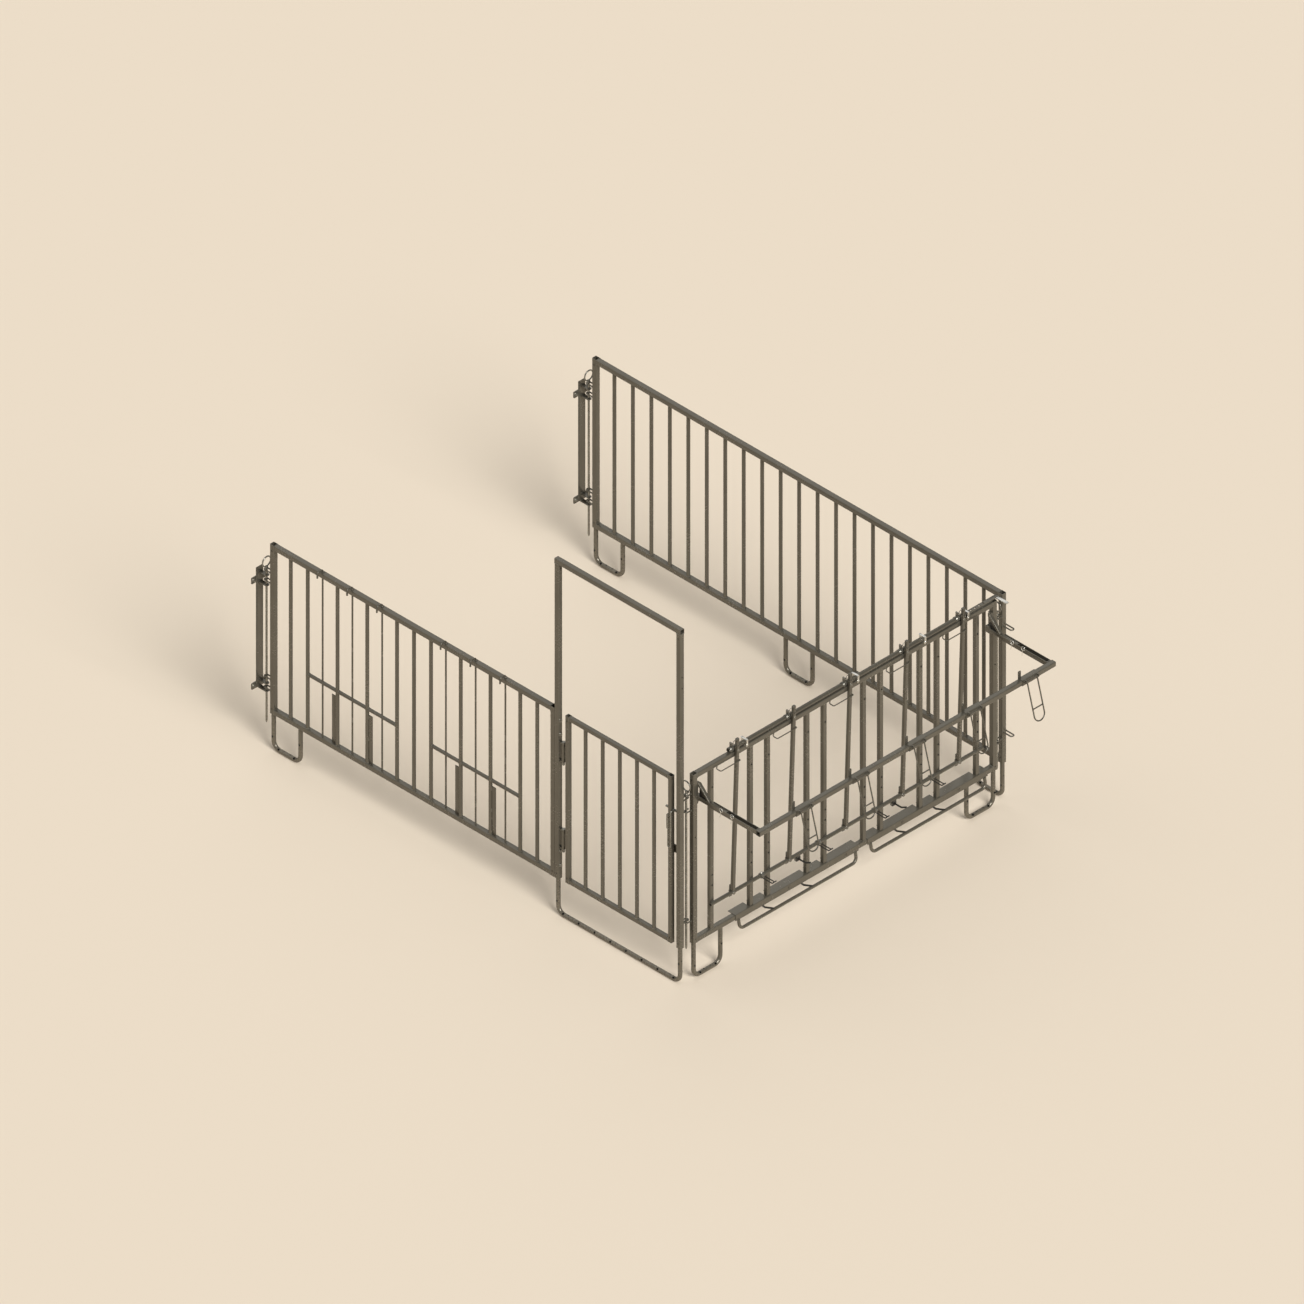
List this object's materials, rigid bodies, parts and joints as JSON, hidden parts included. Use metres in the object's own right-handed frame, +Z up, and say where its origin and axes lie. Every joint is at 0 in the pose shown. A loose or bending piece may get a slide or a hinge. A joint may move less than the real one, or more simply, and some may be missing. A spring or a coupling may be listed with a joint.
{
  "type": "group calf pen",
  "caption": "Free-standing calf enclosure: barred side panels, tall walk-in doorway with gate, feed front with swinging neck bars and a rail of bucket loops.",
  "frame": {"origin": "on the floor, under the middle of the pen's bounding box", "axes": "+X across the pen from the doorway side to the far panel, +Y from the feed front to the wall, +Z up"},
  "size_m": [2.475, 3.6406, 2.2499],
  "materials": {
    "coated_steel": "dark weathered coating, satin",
    "dark_wire": "dark wire, satin",
    "zinc_steel": "zinc plated, dull"
  },
  "bodies": {
    "pen": {"near_side_panel": "coated_steel", "far_side_panel": "coated_steel", "feed_front_panel": "coated_steel", "doorway_frame": "coated_steel", "doorway_threshold": "coated_steel", "near_wall_foot": "coated_steel", "far_wall_foot": "coated_steel", "far_middle_foot": "coated_steel", "far_front_foot": "coated_steel", "front_left_foot": "coated_steel", "front_right_foot": "coated_steel", "left_arm_bracket": "coated_steel", "right_arm_bracket": "coated_steel", "lower_loop_1": "coated_steel", "lower_loop_2": "coated_steel", "near_wall_bracket": "coated_steel", "far_wall_bracket": "coated_steel", "panel_bolt_1": "zinc_steel", "panel_bolt_2": "zinc_steel", "panel_bolt_3": "zinc_steel", "panel_bolt_4": "zinc_steel", "lower_hinge_pin": "zinc_steel", "upper_hinge_pin": "zinc_steel"},
    "gate": {"gate_frame": "coated_steel"},
    "gate_latch": {"gate_latch_bolt": "zinc_steel"},
    "lift_out_rod_1": {"lift_out_rod_1": "dark_wire"},
    "lift_out_rod_2": {"lift_out_rod_2": "dark_wire"},
    "lift_out_rod_3": {"lift_out_rod_3": "dark_wire"},
    "lift_out_rod_4": {"lift_out_rod_4": "dark_wire"},
    "lift_out_rod_5": {"lift_out_rod_5": "dark_wire"},
    "lift_out_rod_6": {"lift_out_rod_6": "dark_wire"},
    "neck_bar_1": {"neck_bar_1": "coated_steel"},
    "neck_bar_2": {"neck_bar_2": "coated_steel"},
    "neck_bar_3": {"neck_bar_3": "coated_steel"},
    "neck_bar_4": {"neck_bar_4": "coated_steel"},
    "neck_bar_5": {"neck_bar_5": "coated_steel"},
    "control_rod": {"control_rod": "coated_steel"},
    "locking_pawl_1": {"locking_pawl_1": "zinc_steel"},
    "locking_pawl_2": {"locking_pawl_2": "zinc_steel"},
    "locking_pawl_3": {"locking_pawl_3": "zinc_steel"},
    "locking_pawl_4": {"locking_pawl_4": "zinc_steel"},
    "locking_pawl_5": {"locking_pawl_5": "zinc_steel"},
    "bucket_rail": {"bucket_rail": "coated_steel", "left_sliding_arm": "coated_steel", "right_sliding_arm": "coated_steel", "bucket_sleeve_1": "coated_steel", "bucket_sleeve_2": "coated_steel", "bucket_sleeve_3": "coated_steel", "bucket_sleeve_4": "coated_steel", "bucket_sleeve_5": "coated_steel"},
    "bucket_loop_1": {"bucket_loop_1": "dark_wire"},
    "bucket_loop_2": {"bucket_loop_2": "dark_wire"},
    "bucket_loop_3": {"bucket_loop_3": "dark_wire"},
    "bucket_loop_4": {"bucket_loop_4": "dark_wire"},
    "bucket_loop_5": {"bucket_loop_5": "dark_wire"},
    "near_wall_pin": {"near_wall_pin": "zinc_steel"},
    "far_wall_pin": {"far_wall_pin": "zinc_steel"},
    "door_corner_pin": {"door_corner_pin": "zinc_steel"},
    "far_corner_pin": {"far_corner_pin": "zinc_steel"}
  },
  "joints": [
    {"name": "gate_hinge", "type": "hinge", "parent": "pen", "child": "gate", "pos_m": [-1.1775, -0.40467, 0.69994], "axis": [0, 0, -1], "range_deg": [0, 105]},
    {"name": "gate_latch_slide", "type": "slide", "parent": "gate", "child": "gate_latch", "axis": [0, -1, 0], "range_m": [0, 0.02]},
    {"name": "lift_out_rod_1_lift", "type": "slide", "parent": "pen", "child": "lift_out_rod_1", "axis": [0, 0, 1], "range_m": [0, 1.02]},
    {"name": "lift_out_rod_2_lift", "type": "slide", "parent": "pen", "child": "lift_out_rod_2", "axis": [0, 0, 1], "range_m": [0, 1.02]},
    {"name": "lift_out_rod_3_lift", "type": "slide", "parent": "pen", "child": "lift_out_rod_3", "axis": [0, 0, 1], "range_m": [0, 1.02]},
    {"name": "lift_out_rod_4_lift", "type": "slide", "parent": "pen", "child": "lift_out_rod_4", "axis": [0, 0, 1], "range_m": [0, 1.02]},
    {"name": "lift_out_rod_5_lift", "type": "slide", "parent": "pen", "child": "lift_out_rod_5", "axis": [0, 0, 1], "range_m": [0, 1.02]},
    {"name": "lift_out_rod_6_lift", "type": "slide", "parent": "pen", "child": "lift_out_rod_6", "axis": [0, 0, 1], "range_m": [0, 1.02]},
    {"name": "neck_bar_1_swing", "type": "hinge", "parent": "pen", "child": "neck_bar_1", "pos_m": [-0.8335, -1.29402, 0.42794], "axis": [0, -1, 0], "range_deg": [0, 8]},
    {"name": "neck_bar_2_swing", "type": "hinge", "parent": "pen", "child": "neck_bar_2", "pos_m": [-0.4205, -1.29402, 0.42794], "axis": [0, -1, 0], "range_deg": [0, 8]},
    {"name": "neck_bar_3_swing", "type": "hinge", "parent": "pen", "child": "neck_bar_3", "pos_m": [-0.0075, -1.29402, 0.42794], "axis": [0, -1, 0], "range_deg": [0, 8]},
    {"name": "neck_bar_4_swing", "type": "hinge", "parent": "pen", "child": "neck_bar_4", "pos_m": [0.4055, -1.29402, 0.42794], "axis": [0, -1, 0], "range_deg": [0, 8]},
    {"name": "neck_bar_5_swing", "type": "hinge", "parent": "pen", "child": "neck_bar_5", "pos_m": [0.8185, -1.29402, 0.42794], "axis": [0, -1, 0], "range_deg": [0, 8]},
    {"name": "control_rod_slide", "type": "slide", "parent": "pen", "child": "control_rod", "axis": [-1, 0, 0], "range_m": [0, 0.09]},
    {"name": "locking_pawl_1_turn", "type": "hinge", "parent": "control_rod", "child": "locking_pawl_1", "pos_m": [-0.8275, -1.27167, 1.31544], "axis": [1, 0, 0], "range_deg": [0, 90]},
    {"name": "locking_pawl_2_turn", "type": "hinge", "parent": "control_rod", "child": "locking_pawl_2", "pos_m": [-0.4145, -1.27167, 1.31544], "axis": [1, 0, 0], "range_deg": [0, 90]},
    {"name": "locking_pawl_3_turn", "type": "hinge", "parent": "control_rod", "child": "locking_pawl_3", "pos_m": [-0.0015, -1.27167, 1.31544], "axis": [1, 0, 0], "range_deg": [0, 90]},
    {"name": "locking_pawl_4_turn", "type": "hinge", "parent": "control_rod", "child": "locking_pawl_4", "pos_m": [0.4115, -1.27167, 1.31544], "axis": [1, 0, 0], "range_deg": [0, 90]},
    {"name": "locking_pawl_5_turn", "type": "hinge", "parent": "control_rod", "child": "locking_pawl_5", "pos_m": [0.8245, -1.27167, 1.31544], "axis": [1, 0, 0], "range_deg": [0, 90]},
    {"name": "bucket_rail_slide", "type": "slide", "parent": "pen", "child": "bucket_rail", "axis": [0, 1, 0], "range_m": [-0.06, 0.075]},
    {"name": "bucket_loop_1_swing", "type": "hinge", "parent": "bucket_rail", "child": "bucket_loop_1", "pos_m": [-0.7545, -1.75397, 1.14424], "axis": [-1, 0, 0], "range_deg": [0, 75]},
    {"name": "bucket_loop_2_swing", "type": "hinge", "parent": "bucket_rail", "child": "bucket_loop_2", "pos_m": [-0.3415, -1.75397, 1.14424], "axis": [-1, 0, 0], "range_deg": [0, 75]},
    {"name": "bucket_loop_3_swing", "type": "hinge", "parent": "bucket_rail", "child": "bucket_loop_3", "pos_m": [0.0715, -1.75397, 1.14424], "axis": [-1, 0, 0], "range_deg": [0, 75]},
    {"name": "bucket_loop_4_swing", "type": "hinge", "parent": "bucket_rail", "child": "bucket_loop_4", "pos_m": [0.4845, -1.75397, 1.14424], "axis": [-1, 0, 0], "range_deg": [0, 75]},
    {"name": "bucket_loop_5_swing", "type": "hinge", "parent": "bucket_rail", "child": "bucket_loop_5", "pos_m": [0.8975, -1.75397, 1.14424], "axis": [-1, 0, 0], "range_deg": [0, 75]},
    {"name": "near_wall_pin_lift", "type": "slide", "parent": "pen", "child": "near_wall_pin", "axis": [0, 0, 1], "range_m": [0, 1]},
    {"name": "far_wall_pin_lift", "type": "slide", "parent": "pen", "child": "far_wall_pin", "axis": [0, 0, 1], "range_m": [0, 1]},
    {"name": "door_corner_pin_lift", "type": "slide", "parent": "pen", "child": "door_corner_pin", "axis": [0, 0, 1], "range_m": [0, 1]},
    {"name": "far_corner_pin_lift", "type": "slide", "parent": "pen", "child": "far_corner_pin", "axis": [0, 0, 1], "range_m": [0, 1]}
  ]
}
